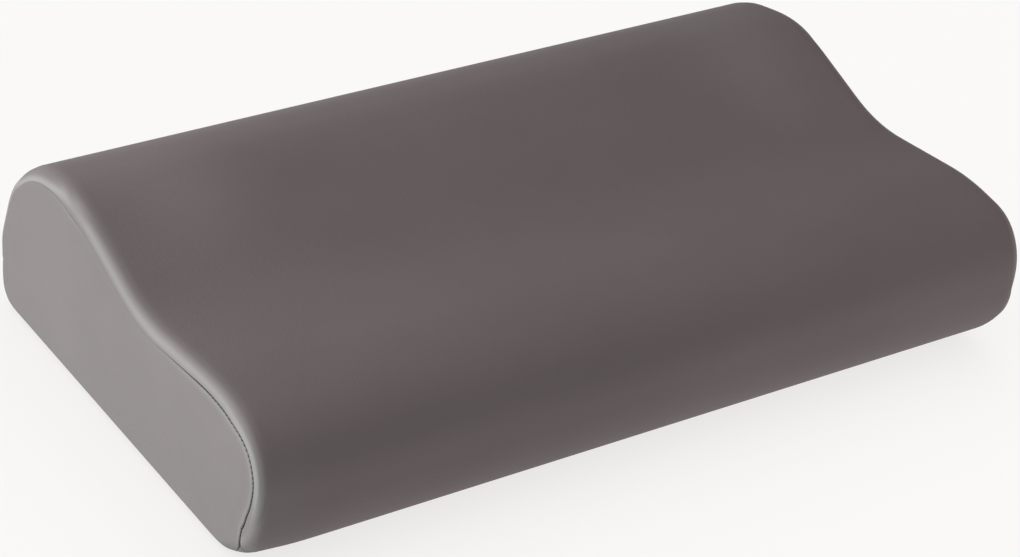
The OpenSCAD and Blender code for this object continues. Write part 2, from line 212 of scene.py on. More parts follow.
def seam_u(s):
    """Where the end seam runs: along the start of the rounding, in on the flat face above the front
    foot and a little beside the back lobe, and out under the pillow along the bottom."""
    y, z, _, _ = outline(s)
    foot = bell(z - FOOT_DIP_Z, FOOT_DIP_REACH) * ramp(y, -0.1, -0.14)
    lobe = bell(y - LOBE_DIP_Y, LOBE_DIP_REACH)
    front = ramp(y, -0.118, -0.148)
    beside = SEAM_SIDE - FRONT_DIP * front - FOOT_DIP * foot - LOBE_DIP * lobe
    beside = beside + (LOBE_R - END_R) * behind_lobe(y, z)
    return mix(beside, SEAM_UNDER, ramp(z, SEAM_UNDER_Z, 0))


def strain(s):
    """How hard the end seam is pulled open: fully down the front corner, a little by the back lobe."""
    y, z, _, _ = outline(s)
    front = ramp(y, -0.024, -0.109) * ramp(z, 0, 0.012)
    lobe = bell(y - LOBE_DIP_Y, LOBE_STRAIN_REACH) * (z > UPPER_HALF_Z)
    return np.maximum(front, LOBE_STRAIN * lobe)


CLOSED_GAP, OPEN_GAP = 0.00002, 0.00042  # half the width of the end seam's gap
EDGE_R = 0.0009  # roll of a sewn edge into its seam, where the seam is pulled open
TIGHT_R = 0.00012  # and where it is tight
SETTLE = 0.0018  # the face levels out over about this distance behind the roll
# Distances of a grid's first lines from a sewn edge
FINE = np.array([0, 0.07, 0.25, 0.5, 0.9, 1.4, 1.9, 2.5, 3.1, 4, 5.2]) / 1000


def end_gap(s):
    return mix(CLOSED_GAP, OPEN_GAP, strain(s))


def roll(distance, radius=EDGE_R):
    """How far a panel's face has turned down at a distance from its sewn edge."""
    near = np.clip(1 - distance / radius, 0, 1)
    return radius * (1 - np.sqrt(1 - near**2)) + radius / 3 * np.exp(-distance / SETTLE)


def graded(length, step, both_ends=True):
    """Distances along a length, close together beside the sewn edge at its start (and end)."""
    length = np.asarray(length, float)[..., None]
    half = length / 2 if both_ends else length
    count = max(2, int(round((float(half.max()) - FINE[-1]) / step)))
    spread = np.linspace(0, 1, count + 1)[1:]
    near = np.broadcast_to(FINE, length.shape[:-1] + FINE.shape)
    out = np.concatenate([near, mix(FINE[-1], half, spread)], axis=-1)
    if both_ends:
        out = np.concatenate([out, (length - out)[..., -2::-1]], axis=-1)
    return out


# ---- Meshes ----


def make_object(name, vertices, faces, material):
    mesh = bpy.data.meshes.new(name)
    mesh.from_pydata(np.asarray(vertices, float).reshape(-1, 3).tolist(), [], faces)
    mesh.validate()
    mesh.shade_smooth()
    mesh.materials.append(material)
    obj = bpy.data.objects.new(name, mesh)
    bpy.context.scene.collection.objects.link(obj)
    return obj


def quads(index, flipped=False):
    """Faces of a grid of vertex numbers."""
    a, b, c, d = index[:-1, :-1], index[1:, :-1], index[1:, 1:], index[:-1, 1:]
    corners = (a, d, c, b) if flipped else (a, b, c, d)
    return np.stack([k.ravel() for k in corners], axis=1).tolist()


def set_painted_highlight(obj, values):
    """Store the painted highlight's strength at each vertex, which pales the velour's colour."""
    layer = obj.data.attributes.new("painted_highlight", "FLOAT", "POINT")
    layer.data.foreach_set("value", np.ascontiguousarray(values, np.float32).ravel())


def thick_grid(name, outer, inner, material):
    """A closed sheet between an outer and an inner grid of points."""
    rows, columns = outer.shape[:2]
    top = np.arange(rows * columns).reshape(rows, columns)
    low = top + rows * columns
    faces = quads(top) + quads(low, flipped=True)
    rims = ((top[0], low[0], True), (top[-1], low[-1], False))
    sides = ((top[:, 0], low[:, 0], False), (top[:, -1], low[:, -1], True))
    for upper, under, flipped in rims + sides:
        faces += quads(np.stack([upper, under]), flipped)
    return make_object(name, np.concatenate([outer.reshape(-1, 3), inner.reshape(-1, 3)]), faces, material)


def loft(name, rings, material, capped=True):
    """A solid through rings of points, closed round each ring; capped, or looped end to end."""
    rings = np.asarray(rings)
    count, around = rings.shape[:2]
    index = np.arange(count * around).reshape(count, around)
    index = np.concatenate([index, index[:, :1]], axis=1)
    if not capped:
        index = np.concatenate([index, index[:1]], axis=0)
    faces = quads(index)
    if capped:
        faces += [index[0, :-1].tolist(), index[-1, -2::-1].tolist()]
    return make_object(name, rings, faces, material)


def joined(name, parts):
    """Several objects' meshes as one object."""
    vertices, faces = [], []
    for part in parts:
        start = len(vertices)
        vertices += [tuple(v.co) for v in part.data.vertices]
        faces += [[k + start for k in p.vertices] for p in part.data.polygons]
    material = parts[0].data.materials[0]
    for part in parts:
        bpy.data.objects.remove(part)
    return make_object(name, vertices, faces, material)


def thread_bits(name, starts, ends, outward, radius, material, arch=0.6):
    """One small tapered tube per stitch, from starts to ends, arched outward by arch radii."""
    starts, ends, outward = (np.asarray(k, float) for k in (starts, ends, outward))
    sides = 6
    t = np.array([0, 0.12, 0.5, 0.88, 1])
    width = radius * np.array([0.35, 0.85, 1, 0.85, 0.35])
    rise = arch * radius * (1 - (2 * t - 1) ** 2) - 0.9 * radius * np.abs(2 * t - 1) ** 6
    run = ends - starts
    across = np.cross(run, outward)
    across /= np.linalg.norm(across, axis=1)[:, None]
    centre = starts[:, None] + run[:, None] * t[None, :, None] + outward[:, None] * rise[None, :, None]
    angle = np.arange(sides) * 2 * math.pi / sides
    ring = outward[:, None, None] * np.cos(angle)[None, None, :, None]
    ring = ring + across[:, None, None] * np.sin(angle)[None, None, :, None]
    points = centre[:, :, None] + ring * width[None, :, None, None]
    per_stitch = len(t) * sides
    index = np.arange(per_stitch).reshape(len(t), sides)
    index = np.concatenate([index, index[:, :1]], axis=1)
    one = quads(index, flipped=True) + [index[0, -2::-1].tolist(), index[-1, :-1].tolist()]
    faces = [[k + per_stitch * n for k in face] for n in range(len(starts)) for face in one]
    return make_object(name, points, faces, material)


def stitches(name, points, outward, pitch, radius, material, share=0.8, looped=False):
    """A row of stitches along a line of points."""
    if looped:
        points = np.vstack([points, points[:1]])
        outward = np.vstack([outward, outward[:1]])
    along = np.concatenate([[0], np.cumsum(np.linalg.norm(np.diff(points, axis=0), axis=1))])
    count = int(along[-1] // pitch)

    def at(values, where):
        return np.stack([np.interp(where, along, values[:, k]) for k in range(3)], axis=1)

    begin = np.arange(count) * along[-1] / count
    end = begin + share * along[-1] / count
    normal = at(outward, (begin + end) / 2)
    normal /= np.linalg.norm(normal, axis=1)[:, None]
    return thread_bits(name, at(points, begin), at(points, end), normal, radius, material)


# ---- Materials ----


class Nodes:
    """A small helper that builds one procedural material."""

    def __init__(self, name):
        self.material = bpy.data.materials.new(name)
        self.material.use_nodes = True
        self.tree = self.material.node_tree
        self.shader = self.tree.nodes["Principled BSDF"]
        self.place = self.add("ShaderNodeTexCoord").outputs["Object"]

    def add(self, kind, inputs=None, **settings):
        node = self.tree.nodes.new(kind)
        for key, value in settings.items():
            setattr(node, key, value)
        for key, value in (inputs or {}).items():
            self.put(node.inputs[key], value)
        return node

    def put(self, socket, value):
        if isinstance(value, bpy.types.NodeSocket):
            self.tree.links.new(value, socket)
        else:
            socket.default_value = value

    def set(self, **values):
        for key, value in values.items():
            self.put(self.shader.inputs[key.replace("_", " ")], value)

    def noise(self, scale, detail=2.0, roughness=0.5, place=None):
        inputs = {"Vector": place or self.place, "Scale": scale, "Detail": detail, "Roughness": roughness}
        return self.add("ShaderNodeTexNoise", inputs).outputs["Fac"]

    def stretched(self, scale):
        return self.add("ShaderNodeMapping", {"Vector": self.place, "Scale": scale}).outputs["Vector"]

    def wave(self, scale, direction, distortion):
        inputs = {"Vector": self.place, "Scale": scale, "Distortion": distortion, "Detail": 1.0}
        return self.add("ShaderNodeTexWave", inputs, bands_direction=direction).outputs["Fac"]

    def blend(self, factor, low, high):
        """A colour between low and high."""
        ramp = self.add("ShaderNodeValToRGB", {"Fac": factor})
        ramp.color_ramp.elements[0].color = (*low, 1)
        ramp.color_ramp.elements[1].color = (*high, 1)
        return ramp.outputs["Color"]

    def maths(self, operation, a, b):
        node = self.add("ShaderNodeMath", {0: a, 1: b}, operation=operation)
        return node.outputs["Value"]

    def bump(self, height, strength, distance, normal=None):
        inputs = {"Height": height, "Strength": strength, "Distance": distance}
        if normal is not None:
            inputs["Normal"] = normal
        return self.add("ShaderNodeBump", inputs).outputs["Normal"]


def shade(colour, factor):
    return tuple(c * factor for c in colour)


HIGHLIGHT_GAIN = (0.5, 0.62, 0.6)  # painted highlight: how much paler and greyer the velour's colour is painted at full strength


def velour(name, colour):
    """Short-pile knit: a fine uneven pile, soft broad patches where it lies over, and sheen; its colour
    is painted paler and greyer as a highlight wherever the per-vertex highlight attribute is set."""
    m = Nodes(name)
    pile = m.noise(2100, detail=3, roughness=0.65)
    tufts = m.noise(620, detail=2)
    patches = m.noise(9, detail=4, roughness=0.6, place=m.stretched((0.7, 1, 1)))
    tone = m.maths("ADD", m.maths("MULTIPLY", pile, 0.4), m.maths("MULTIPLY", patches, 0.6))
    plain = m.blend(tone, shade(colour, 0.8), shade(colour, 1.2))
    # Painted highlight: the base colour is made paler and greyer by the per-vertex highlight strength.
    painted_highlight = m.add("ShaderNodeAttribute", attribute_name="painted_highlight").outputs["Vector"]
    highlight_gain_inputs = {0: painted_highlight, 1: HIGHLIGHT_GAIN, 2: (1, 1, 1)}
    gain = m.add("ShaderNodeVectorMath", highlight_gain_inputs, operation="MULTIPLY_ADD").outputs["Vector"]
    highlighted = m.add("ShaderNodeVectorMath", {0: plain, 1: gain}, operation="MULTIPLY").outputs["Vector"]
    normal = m.bump(tufts, 0.22, 0.0005)
    normal = m.bump(pile, 0.4, 0.00025, normal)
    m.set(Base_Color=highlighted, Roughness=0.92, Normal=normal)
    m.set(Sheen_Weight=0.05, Sheen_Roughness=0.5, Sheen_Tint=(1, 0.985, 0.965, 1), Specular_IOR_Level=0.2)
    return m.material


def thread(name, colour):
    """Twisted polyester thread."""
    m = Nodes(name)
    twist = m.wave(1500, "DIAGONAL", distortion=1.5)
    m.set(Base_Color=m.blend(twist, shade(colour, 0.75), shade(colour, 1.2)), Roughness=0.55)
    m.set(Normal=m.bump(twist, 0.5, 0.0001), Sheen_Weight=0.25, Sheen_Roughness=0.4)
    return m.material


def woven_tape(name, colour):
    """Herringbone zip tape: fine ribs along the tape crossed by the weft."""
    m = Nodes(name)
    ribs = m.wave(420, "Z", distortion=0.3)
    weft = m.wave(700, "X", distortion=0.6)
    weave = m.maths("MULTIPLY", ribs, weft)
    m.set(Base_Color=m.blend(weave, shade(colour, 0.7), shade(colour, 1.25)), Roughness=0.8)
    m.set(Normal=m.bump(weave, 0.6, 0.0002), Sheen_Weight=0.2, Sheen_Roughness=0.5)
    return m.material


def nylon(name, colour):
    m = Nodes(name)
    haze = m.noise(900, detail=2)
    m.set(Base_Color=m.blend(haze, shade(colour, 0.85), shade(colour, 1.15)), Roughness=0.34)
    m.set(Normal=m.bump(haze, 0.15, 0.0001), IOR=1.53)
    return m.material


def brushed_metal(name, colour):
    """Die-cast metal, brushed along the slider, dulled a little where fingers rub it."""
    m = Nodes(name)
    lines = m.noise(900, detail=3, place=m.stretched((0.06, 1, 1)))
    rubbed = m.noise(260, detail=2)
    rough = m.add("ShaderNodeMapRange", {"Value": rubbed, "To Min": 0.24, "To Max": 0.42})
    m.set(Base_Color=m.blend(lines, shade(colour, 0.86), shade(colour, 1.08)), Metallic=1.0)
    m.set(Roughness=rough.outputs["Result"], Normal=m.bump(lines, 0.12, 0.00006))
    return m.material


def satin(name, colour):
    """Blank woven satin ribbon."""
    m = Nodes(name)
    floats = m.wave(1300, "DIAGONAL", distortion=0.4)
    m.set(Base_Color=m.blend(floats, shade(colour, 0.93), shade(colour, 1.03)), Roughness=0.42)
    m.set(Normal=m.bump(floats, 0.2, 0.00008), Sheen_Weight=0.3, Sheen_Roughness=0.3)
    return m.material


def jersey(name, colour):
    """Thin white jersey: wales along the panel and courses across it."""
    m = Nodes(name)
    wales = m.wave(520, "Y", distortion=0.5)
    courses = m.wave(700, "X", distortion=0.8)
    knit = m.maths("ADD", m.maths("MULTIPLY", wales, 0.6), m.maths("MULTIPLY", courses, 0.4))
    m.set(Base_Color=m.blend(knit, shade(colour, 0.88), shade(colour, 1.04)), Roughness=0.85)
    m.set(Normal=m.bump(knit, 0.5, 0.0003), Sheen_Weight=0.2, Sheen_Roughness=0.5)
    return m.material


def open_foam(name, colour):
    """Slow-recovery foam: fine open pores and a faint mottle."""
    m = Nodes(name)
    pores = m.add("ShaderNodeTexVoronoi", {"Vector": m.place, "Scale": 900.0}).outputs["Distance"]
    mottle = m.noise(30, detail=3)
    m.set(Base_Color=m.blend(mottle, shade(colour, 0.95), shade(colour, 1.03)), Roughness=0.95)
    m.set(Normal=m.bump(pores, 0.6, 0.0004), Subsurface_Weight=0.15, Subsurface_Scale=0.004)
    return m.material


TAUPE = (0.113, 0.093, 0.094)
fabric = velour("pillow_velour", TAUPE)
seam_thread = thread("seam_thread", (0.012, 0.0105, 0.0105))
stitch_thread = thread("topstitch_thread", (0.085, 0.075, 0.075))
white_thread = thread("liner_thread", (0.8, 0.8, 0.78))
tape_weave = woven_tape("zip_tape_weave", (0.065, 0.056, 0.056))
coil_nylon = nylon("zip_coil_nylon", (0.05, 0.043, 0.043))
metal = brushed_metal("zip_metal", (0.56, 0.56, 0.57))
label_satin = satin("label_satin", (0.8, 0.8, 0.78))
liner_knit = jersey("liner_jersey", (0.8, 0.8, 0.78))
foam_cells = open_foam("foam_cells", (0.82, 0.77, 0.62))

# ---- How the tight cover bulges ----

CROWN_CAP = 0.0016  # the cover stands out by no more than this
SHELL_STEP = 0.007  # size of the simulated shell's faces
HELD_NEAR = 0.006  # the shell doesn't move this near a seam
ZIP_STRIP_HALF = 0.013  # nor this near the zip's centre line
ON_BED = 0.0015  # nor below this height, where it lies on the bed
FOAM_GRIP = 0.3  # how firmly the foam and liner hold the rest of it
SETTLED_FRAME = 16
CROWN_BLUR = 14  # rounds of smoothing for the crown, as it's read from the shell
CROWN_FADE = 0.016  # and the distance from a seam over which it grows from nothing
CLOTH = {
    "quality": 6,
    "mass": 0.3,
    "tension_stiffness": 40,
    "compression_stiffness": 40,
    "shear_stiffness": 20,
    "bending_stiffness": 10,
    "vertex_group_mass": "held",
    "use_pressure": True,
    "uniform_pressure_force": 16,
}
FACE_U = -0.005  # the plain middle of an end face starts this far in from its rim
FACE_MIDDLE_Y, FACE_MIDDLE_Z = 0.105, 0.046  # half length and height of the end face's middle line


def face_rings(ring, steps):
    """Rings that carry a flat end's outline in to the middle line of the face."""
    middle = ring.copy()
    middle[:, 1] = np.clip(ring[:, 1], -FACE_MIDDLE_Y, FACE_MIDDLE_Y)
    middle[:, 2] = FACE_MIDDLE_Z
    return np.array([mix(ring, middle, t) for t in np.linspace(0, 0.97, steps + 1)[1:]])


def cover_shell():
    """The cover's whole face as one closed mesh of even quads."""
    s = np.linspace(0, GIRTH, 221)[:-1]
    u = np.concatenate([[FACE_U], half_length(0, 7, 40)])
    right = skin(s[None], u[:, None])
    right = np.concatenate([face_rings(right[0], 10)[::-1], right])
    shell = loft("crown_shell", np.concatenate([mirrored(right), right[-2::-1]]), fabric)
    remesh = shell.modifiers.new("even", "REMESH")
    remesh.mode = "VOXEL"
    remesh.voxel_size = SHELL_STEP
    even = bpy.data.meshes.new_from_object(shell.evaluated_get(bpy.context.evaluated_depsgraph_get()))
    shell.modifiers.clear()
    shell.data = even
    return shell


def seam_points():
    """Points along both end seams, the front seam and the back seam with its zip."""
    s = np.linspace(0, GIRTH, 301)[:-1]
    right = skin(s, seam_u(s))
    lines = np.zeros((2, 161, 3))
    lines[..., 0] = np.linspace(-HALF_L, HALF_L, 161)
    for line, place in zip(lines, (S_FRONT, S_WALL)):
        line[:, 1:] = outline(place)[:2]
    return np.concatenate([right, mirrored(right), *lines])


def simulate_crown():
    """Cloth under light pressure, held at its seams, along the zip and where it lies on the bed.
    Returns a tree of the shell's faces at rest, the faces, the points and how far each has moved."""
    shell = cover_shell()
    rest = np.array([v.co for v in shell.data.vertices])
    sewn = seam_points()
    seams = KDTree(len(sewn))
    for number, point in enumerate(sewn):
        seams.insert(point, number)
    seams.balance()
    held = np.array([seams.find(point)[2] < HELD_NEAR for point in rest])
    held |= rest[:, 2] < ON_BED
    held |= (rest[:, 1] > BACK_Y - 0.001) & (np.abs(rest[:, 2] - ZIP_Z) < ZIP_STRIP_HALF)
    group = shell.vertex_groups.new(name="held")
    group.add(np.flatnonzero(held).tolist(), 1.0, "REPLACE")
    group.add(np.flatnonzero(~held).tolist(), FOAM_GRIP, "REPLACE")
    cloth = shell.modifiers.new("cloth", "CLOTH")
    for key, value in CLOTH.items():
        setattr(cloth.settings, key, value)
    cloth.settings.effector_weights.gravity = 0
    for number in range(1, SETTLED_FRAME + 1):
        bpy.context.scene.frame_set(number)
    swollen = shell.evaluated_get(bpy.context.evaluated_depsgraph_get())
    moved = np.array([v.co for v in swollen.data.vertices]) - rest
    length = np.linalg.norm(moved, axis=1)[:, None]
    moved *= CROWN_CAP * np.tanh(length / CROWN_CAP) / np.maximum(length, 1e-9)
    faces = [tuple(p.vertices) for p in shell.data.polygons]
    bpy.context.scene.frame_set(1)
    bpy.data.objects.remove(shell)
    return BVHTree.FromPolygons(rest.tolist(), faces), faces, rest, moved


crown = simulate_crown()


def crowned(points, from_seam, looped=False):
    """How far each point of a grid is carried by the simulated cover, fading to none at its seams."""
    if crown is None:
        return np.zeros(points.shape)
    tree, faces, rest, moved = crown
    out = np.zeros((points.shape[0] * points.shape[1], 3))
    for n, point in enumerate(points.reshape(-1, 3)):
        near, _, face, _ = tree.find_nearest(Vector(point))
        corners = list(faces[face])
        weights = poly_3d_calc([Vector(rest[k]) for k in corners], near)
        out[n] = np.asarray(weights) @ moved[corners]
    out = out.reshape(points.shape)
    for _ in range(CROWN_BLUR):
        tall = np.pad(out, ((1, 1), (0, 0), (0, 0)), mode="edge")
        wide = np.pad(out, ((0, 0), (1, 1), (0, 0)), mode="wrap" if looped else "edge")
        out = (tall[:-2] + tall[2:] + wide[:, :-2] + wide[:, 2:] + out) / 5
    return out * ramp(from_seam, 0, CROWN_FADE)[..., None]


# ---- Cover ----

SLOT_CLOSED, SLOT_TAPER = 0.00015, 0.006  # half the back seam's gap, and how soon the slot opens


def slot_edge(x):
    """Half the opening between the two panels along the back: the zip's slot, closed at its ends."""
    return mix(SLOT_CLOSED, SLOT_HALF, ramp(np.abs(x), SLOT_END, SLOT_END - SLOT_TAPER))


LONG_GAP = 0.0002  # half the width of the front seam's gap
PANEL_STEP_S, PANEL_STEP_U, RIM_STEP = 0.0036, 0.0042, 0.0016  # sizes of the panels' plain faces
STITCH_PULL, STITCH_PULL_REACH = 0.0003, 0.0009  # how the topstitching pulls the fabric down
RIM = 0.0085  # least width of an end panel's finely divided rim
CLEAR_OF_SEAM = 0.02  # a distance from the seam that is past every fade
LIP_HIGHLIGHT, LIP_HIGHLIGHT_REACH = 0.6, 0.0022  # painted highlight along an end panel's strained edge beside the seam, and its reach
BEND_U, BEND_U_FRONT = 0.0048, 0.0022  # where the painted highlight peaks on the end rounding
BEND_NEAR, BEND_FAR, BEND_FAR_FRONT = 0.003, 0.0024, 0.0018  # its reach towards the seam, and away
FOOT_FADE = 0.6  # how much of the painted highlight is lost towards the rounder front foot
SLOPE_HIGHLIGHT = 0.36  # painted highlight, paler patches near each end of the slope behind the valley
SLOPE_HIGHLIGHT_X, SLOPE_HIGHLIGHT_X_REACH, SLOPE_HIGHLIGHT_Y, SLOPE_HIGHLIGHT_Y_REACH = 0.195, 0.035, 0.045, 0.055


def panel_painted_highlight(nominal, s, u, x):
    """Strength of a long panel's painted highlight: along its ends' rounding, and on the slope behind the
    valley near each end.
    """
    front_y, front_z, _, _ = outline(nominal)
    front = ramp(front_y, -0.115, -0.145)[:, None]
    bend_u = mix(BEND_U, BEND_U_FRONT, front)
    # Painted highlight band along the end rounding.
    bend = bell(u - bend_u, np.where(u < bend_u, BEND_NEAR, mix(BEND_FAR, BEND_FAR_FRONT, front)))
    bend = bend * (1 - FOOT_FADE * front * ramp(front_z, 0.065, 0.02)[:, None])
    y, z, _, _ = outline(s)
    # Painted highlight on the back slope near each end.
    slope_highlight = bell(x - SLOPE_HIGHLIGHT_X, SLOPE_HIGHLIGHT_X_REACH) * bell(y - SLOPE_HIGHLIGHT_Y, SLOPE_HIGHLIGHT_Y_REACH)
    return np.maximum(bend, SLOPE_HIGHLIGHT * slope_highlight * (z > UPPER_HALF_Z))


def panel(name, s_first, s_last, zip_first):
    """A long panel from one end seam to the other. s_first and s_last are its seams' places round
    the outline, and zip_first says which of them is the zip's edge."""
    nominal = s_first + graded(s_last - s_first, PANEL_STEP_S)
    edge = seam_u(nominal) + end_gap(nominal)
    in_from_edge = graded(U_MIDDLE - edge, PANEL_STEP_U, both_ends=False)
    u = edge[:, None] + in_from_edge
    x = skin(nominal[:, None], u)[..., 0]
    gap = slot_edge(x)
    first = s_first + (gap if zip_first else LONG_GAP)
    last = s_last - (LONG_GAP if zip_first else gap)
    span = s_last - s_first
    from_start = (nominal - s_first)[:, None]
    to_end = (s_last - nominal)[:, None]
    near_first = first + from_start * (1 - 2 * (first - s_first) / span)
    near_last = last - to_end * (1 - 2 * (s_last - last) / span)
    s = np.where(from_start / span < 0.5, near_first, near_last)
    from_first, from_last = s - first, last - s
    from_zip = from_first if zip_first else from_last
    end_roll = roll(in_from_edge, mix(TIGHT_R, EDGE_R, strain(nominal))[:, None])
    drop = np.maximum.reduce([end_roll, roll(from_first), roll(from_last)])
    from_stitches = from_zip - (STITCH_ROW - SLOT_HALF)
    drop = drop + STITCH_PULL * bell(from_stitches, STITCH_PULL_REACH) * (x < ZIP_HALF_L)
    half_out, half_in = skin(s, u, drop), skin(s, u, COVER_T)
    outer = np.concatenate([mirrored(half_out), half_out[:, -2::-1]], axis=1)
    inner = np.concatenate([mirrored(half_in), half_in[:, -2::-1]], axis=1)
    from_seam = np.minimum(in_from_edge, np.minimum(from_first, from_last))
    bulge = crowned(outer, np.concatenate([from_seam, from_seam[:, -2::-1]], axis=1))
    obj = thick_grid(name, outer + bulge, inner + bulge, fabric)
    painted_highlight = panel_painted_highlight(nominal, s, u, x)
    painted_highlight = np.concatenate([painted_highlight, painted_highlight[:, -2::-1]], axis=1)
    set_painted_highlight(obj, [painted_highlight, painted_highlight])
    return obj


def end_panel(name, side):
    """A flat end with its rim turned over onto the rounding, wherever its seam lies there."""
    s = np.linspace(0, GIRTH, 261)[:-1]
    edge = seam_u(s) - end_gap(s)
    face_start = np.minimum(seam_u(s) - RIM, FACE_U)
    radius = mix(TIGHT_R, EDGE_R, strain(s))[None]
    in_from_edge = graded(edge - face_start, RIM_STEP, both_ends=False).T
    u = edge[None] - in_from_edge
    rings = {}
    for depth, drop in ((0, roll(in_from_edge, radius)), (COVER_T, COVER_T)):
        rim = skin(s[None], u, drop)
        rings[depth] = np.concatenate([rim, face_rings(rim[-1], 12)])
    face = rings[0] if side > 0 else mirrored(rings[0])
    from_seam = np.concatenate([in_from_edge, np.full((len(face) - len(u), len(s)), CLEAR_OF_SEAM)])
    bulge = crowned(face, from_seam, looped=True)
    bulge = bulge if side > 0 else mirrored(bulge)
    rings = np.concatenate([(rings[COVER_T] + bulge)[::-1], rings[0] + bulge])
    # Painted highlight along the seam's lips where it is pulled open.
    lip_highlight = LIP_HIGHLIGHT * strain(s) * bell(from_seam, LIP_HIGHLIGHT_REACH)
    painted_highlight = np.concatenate([lip_highlight[::-1], lip_highlight])
    if side < 0:
        rings, painted_highlight = mirrored(rings)[::-1], painted_highlight[::-1]
    obj = loft(name, rings, fabric)
    set_painted_highlight(obj, painted_highlight)
    return obj


top = panel("cover_top", S_FRONT, S_WALL, zip_first=False)
bottom = panel("cover_bottom", S_WALL, S_FRONT + GIRTH, zip_first=True)
left_end = end_panel("cover_left_end", -1)
right_end = end_panel("cover_right_end", 1)

SEAM_PITCH = 0.003
THREAD_R = 0.0003
DEEP, SHALLOW = 0.0008, 0.0004  # thread's depth in a tight seam, and in one that is pulled open


def end_seam(name, side):
    s = np.linspace(0, GIRTH, 601)[:-1]
    points = skin(s, seam_u(s), mix(DEEP, SHALLOW, strain(s)))
    outward = skin(s, seam_u(s)) - points
    if side < 0:
        points, outward = mirrored(points), mirrored(outward)
    return stitches(name, points, outward, SEAM_PITCH, THREAD_R, seam_thread, share=0.6, looped=True)


def long_seam(name, s, x_from):
    """The seam along the pillow at s, on both sides of the middle from x_from out to the ends."""
    u = np.linspace(U_MIDDLE - x_from, seam_u(s) + 0.001, 200)
    points = skin(s, u, DEEP)
    outward = skin(s, u) - points
    parts = []
    for line, normals in ((points, outward), (mirrored(points), mirrored(outward))):
        parts.append(stitches("half_seam", line, normals, SEAM_PITCH, THREAD_R, seam_thread))
    return joined(name, parts)


left_seam = end_seam("left_end_seam", -1)
right_seam = end_seam("right_end_seam", 1)
front_seam = long_seam("front_seam", S_FRONT, 0.0)
back_seam = long_seam("back_seam", S_WALL, ZIP_HALF_L + 0.004)

# ---- Core and liner ----

LINER_SEAM_U, LINER_GAP = -0.002, 0.0004  # where the liner's end seam runs, and half its gap
LINER_PITCH, LINER_THREAD_R = 0.0028, 0.0002
RELIEF_EDGE = 0.0005  # the foam's step into the relief behind the zip


def behind_zip(s):
    """How much deeper the liner and foam lie behind the slider's path."""
    return SLIDER_RELIEF * ramp(np.abs(s - S_WALL), RELIEF_HALF + RELIEF_EDGE, RELIEF_HALF)


def inside_places():
    """Places round the outline for the core and liner, with each side of the relief's step among
    them."""
    s = np.linspace(0, GIRTH, 221)[:-1]
    edges = S_WALL + np.array([-1, 1])[:, None] * (RELIEF_HALF + np.array([0, 1.2 * RELIEF_EDGE]))
    return np.sort(np.concatenate([s, edges.ravel()]))


def foam_core():
    s = inside_places()
    sunk = FOAM_DEPTH + behind_zip(s)
    half = np.array([skin(s, u, sunk) for u in half_length(0, 7, 22)])
    half = np.concatenate([face_rings(half[0], 6)[::-1], half])
    return loft("foam_block", np.concatenate([mirrored(half), half[-2::-1]]), foam_cells)


def liner_wrap():
    s = inside_places()
    u = half_length(LINER_SEAM_U + LINER_GAP, 8, 22)
    rings = []
    for extra in (0, LINER_T):
        half = np.array([skin(s, k, LINER_DEPTH + extra + behind_zip(s)) for k in u])
        full = np.concatenate([mirrored(half), half[-2::-1]])
        rings.append(full if extra == 0 else full[::-1])
    return loft("liner_wrap_jersey", np.concatenate(rings), liner_knit, capped=False)


def liner_end(name, side):
    s = inside_places()
    rings = []
    for depth in (LINER_DEPTH + LINER_T, LINER_DEPTH):
        rim = skin(s, LINER_SEAM_U - LINER_GAP, depth + behind_zip(s))
        rim[:, 0] = HALF_L - depth
        rings.append(np.concatenate([rim[None], face_rings(rim, 6)]))
    rings = np.concatenate([rings[0][::-1], rings[1]])
    if side < 0:
        rings = mirrored(rings)[::-1]
    return loft(name, rings, liner_knit)


def liner_seam(name, side):
    s = np.linspace(0, GIRTH, 401)[:-1]
    points = skin(s, LINER_SEAM_U, LINER_DEPTH + LINER_T / 2)
    outward = skin(s, LINER_SEAM_U, LINER_DEPTH) - points
    if side < 0:
        points, outward = mirrored(points), mirrored(outward)
    return stitches(name, points, outward, LINER_PITCH, LINER_THREAD_R, white_thread, looped=True)


core = foam_core()
wrap = liner_wrap()
liner_left = liner_end("liner_end_left_jersey", -1)
liner_right = liner_end("liner_end_right_jersey", 1)
liner_seam_left = liner_seam("liner_seam_left", -1)
liner_seam_right = liner_seam("liner_seam_right", 1)

# ---- Zip ----

COIL_PITCH, COIL_WIRE, CORD_R = 0.0015, 0.0003, 0.0005  # one turn, and the wire's and cord's radii
TOP_PITCH, TOP_THREAD_R = 0.0028, 0.00024  # topstitching
TACK_HALF, TACK_PITCH = 0.0009, 0.00048  # half a bar tack's stitch, and the stitches' spacing


def zip_tape(name, node, side):
    """Woven tape, thicker along its corded edge beside the coil."""
    low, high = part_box(node)
    reach_z = np.array([0, 0.25, 1.2, 3, 5, 8, 10.4, 10.85, 11]) / 1000
    thick = (high.y - low.y) * np.array([0.7, 1, 1, 0.85, 0.85, 0.85, 0.85, 0.7, 0.3])
    start = low.z if side > 0 else high.z
    middle_y = (low.y + high.y) / 2
    x = np.linspace(low.x, high.x, 160)
    outer = np.zeros((len(x), len(reach_z), 3))
    outer[..., 0] = x[:, None]
    outer[..., 2] = start + side * reach_z
    inner = outer.copy()
    outer[..., 1] = middle_y + thick / 2
    inner[..., 1] = middle_y - thick / 2
    if side > 0:
        outer, inner = outer[::-1], inner[::-1]
    return thick_grid(name, outer, inner, tape_weave)


